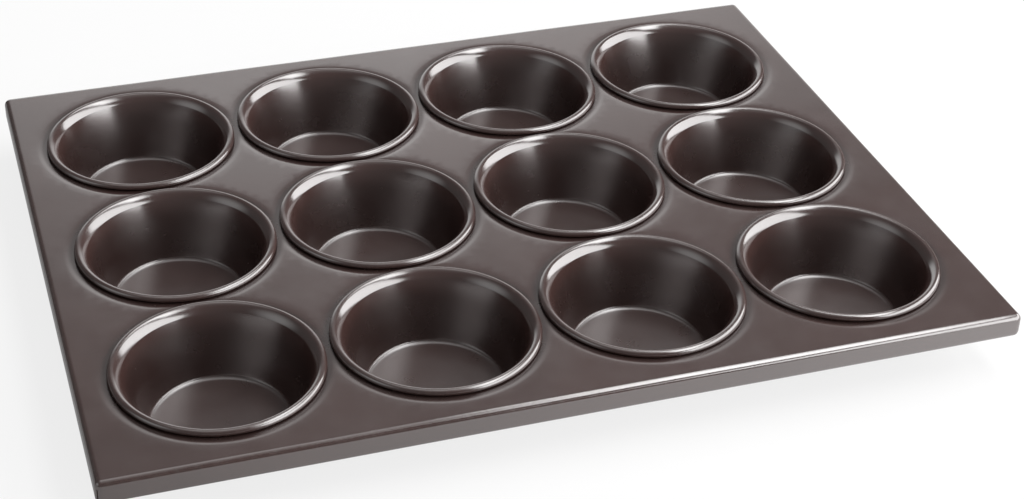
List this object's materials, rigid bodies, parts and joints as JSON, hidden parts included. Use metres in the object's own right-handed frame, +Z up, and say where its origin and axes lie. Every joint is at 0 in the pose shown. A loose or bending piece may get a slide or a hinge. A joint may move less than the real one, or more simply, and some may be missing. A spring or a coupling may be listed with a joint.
{
  "type": "muffin pan",
  "caption": "Coated steel muffin pan: round cups with curled rims crimped into a flat sheet with folded, wired edges.",
  "frame": {"origin": "middle of the plane that the cup floors stand on", "axes": "+X along the long side, +Y along the short side, +Z up"},
  "size_m": [0.3522, 0.2696, 0.0279],
  "materials": {
    "sheet_coating": "semi-gloss dark brown-grey non-stick coating on steel",
    "cup_coating": "semi-gloss dark brown-grey non-stick coating on steel",
    "wire_steel": "plain drawn steel wire"
  },
  "bodies": {
    "root": {"frame_sheet": "sheet_coating", "edge_wire": "wire_steel", "cup_front_1": "cup_coating", "cup_front_2": "cup_coating", "cup_front_3": "cup_coating", "cup_front_4": "cup_coating", "cup_middle_1": "cup_coating", "cup_middle_2": "cup_coating", "cup_middle_3": "cup_coating", "cup_middle_4": "cup_coating", "cup_back_1": "cup_coating", "cup_back_2": "cup_coating", "cup_back_3": "cup_coating", "cup_back_4": "cup_coating"}
  },
  "joints": []
}
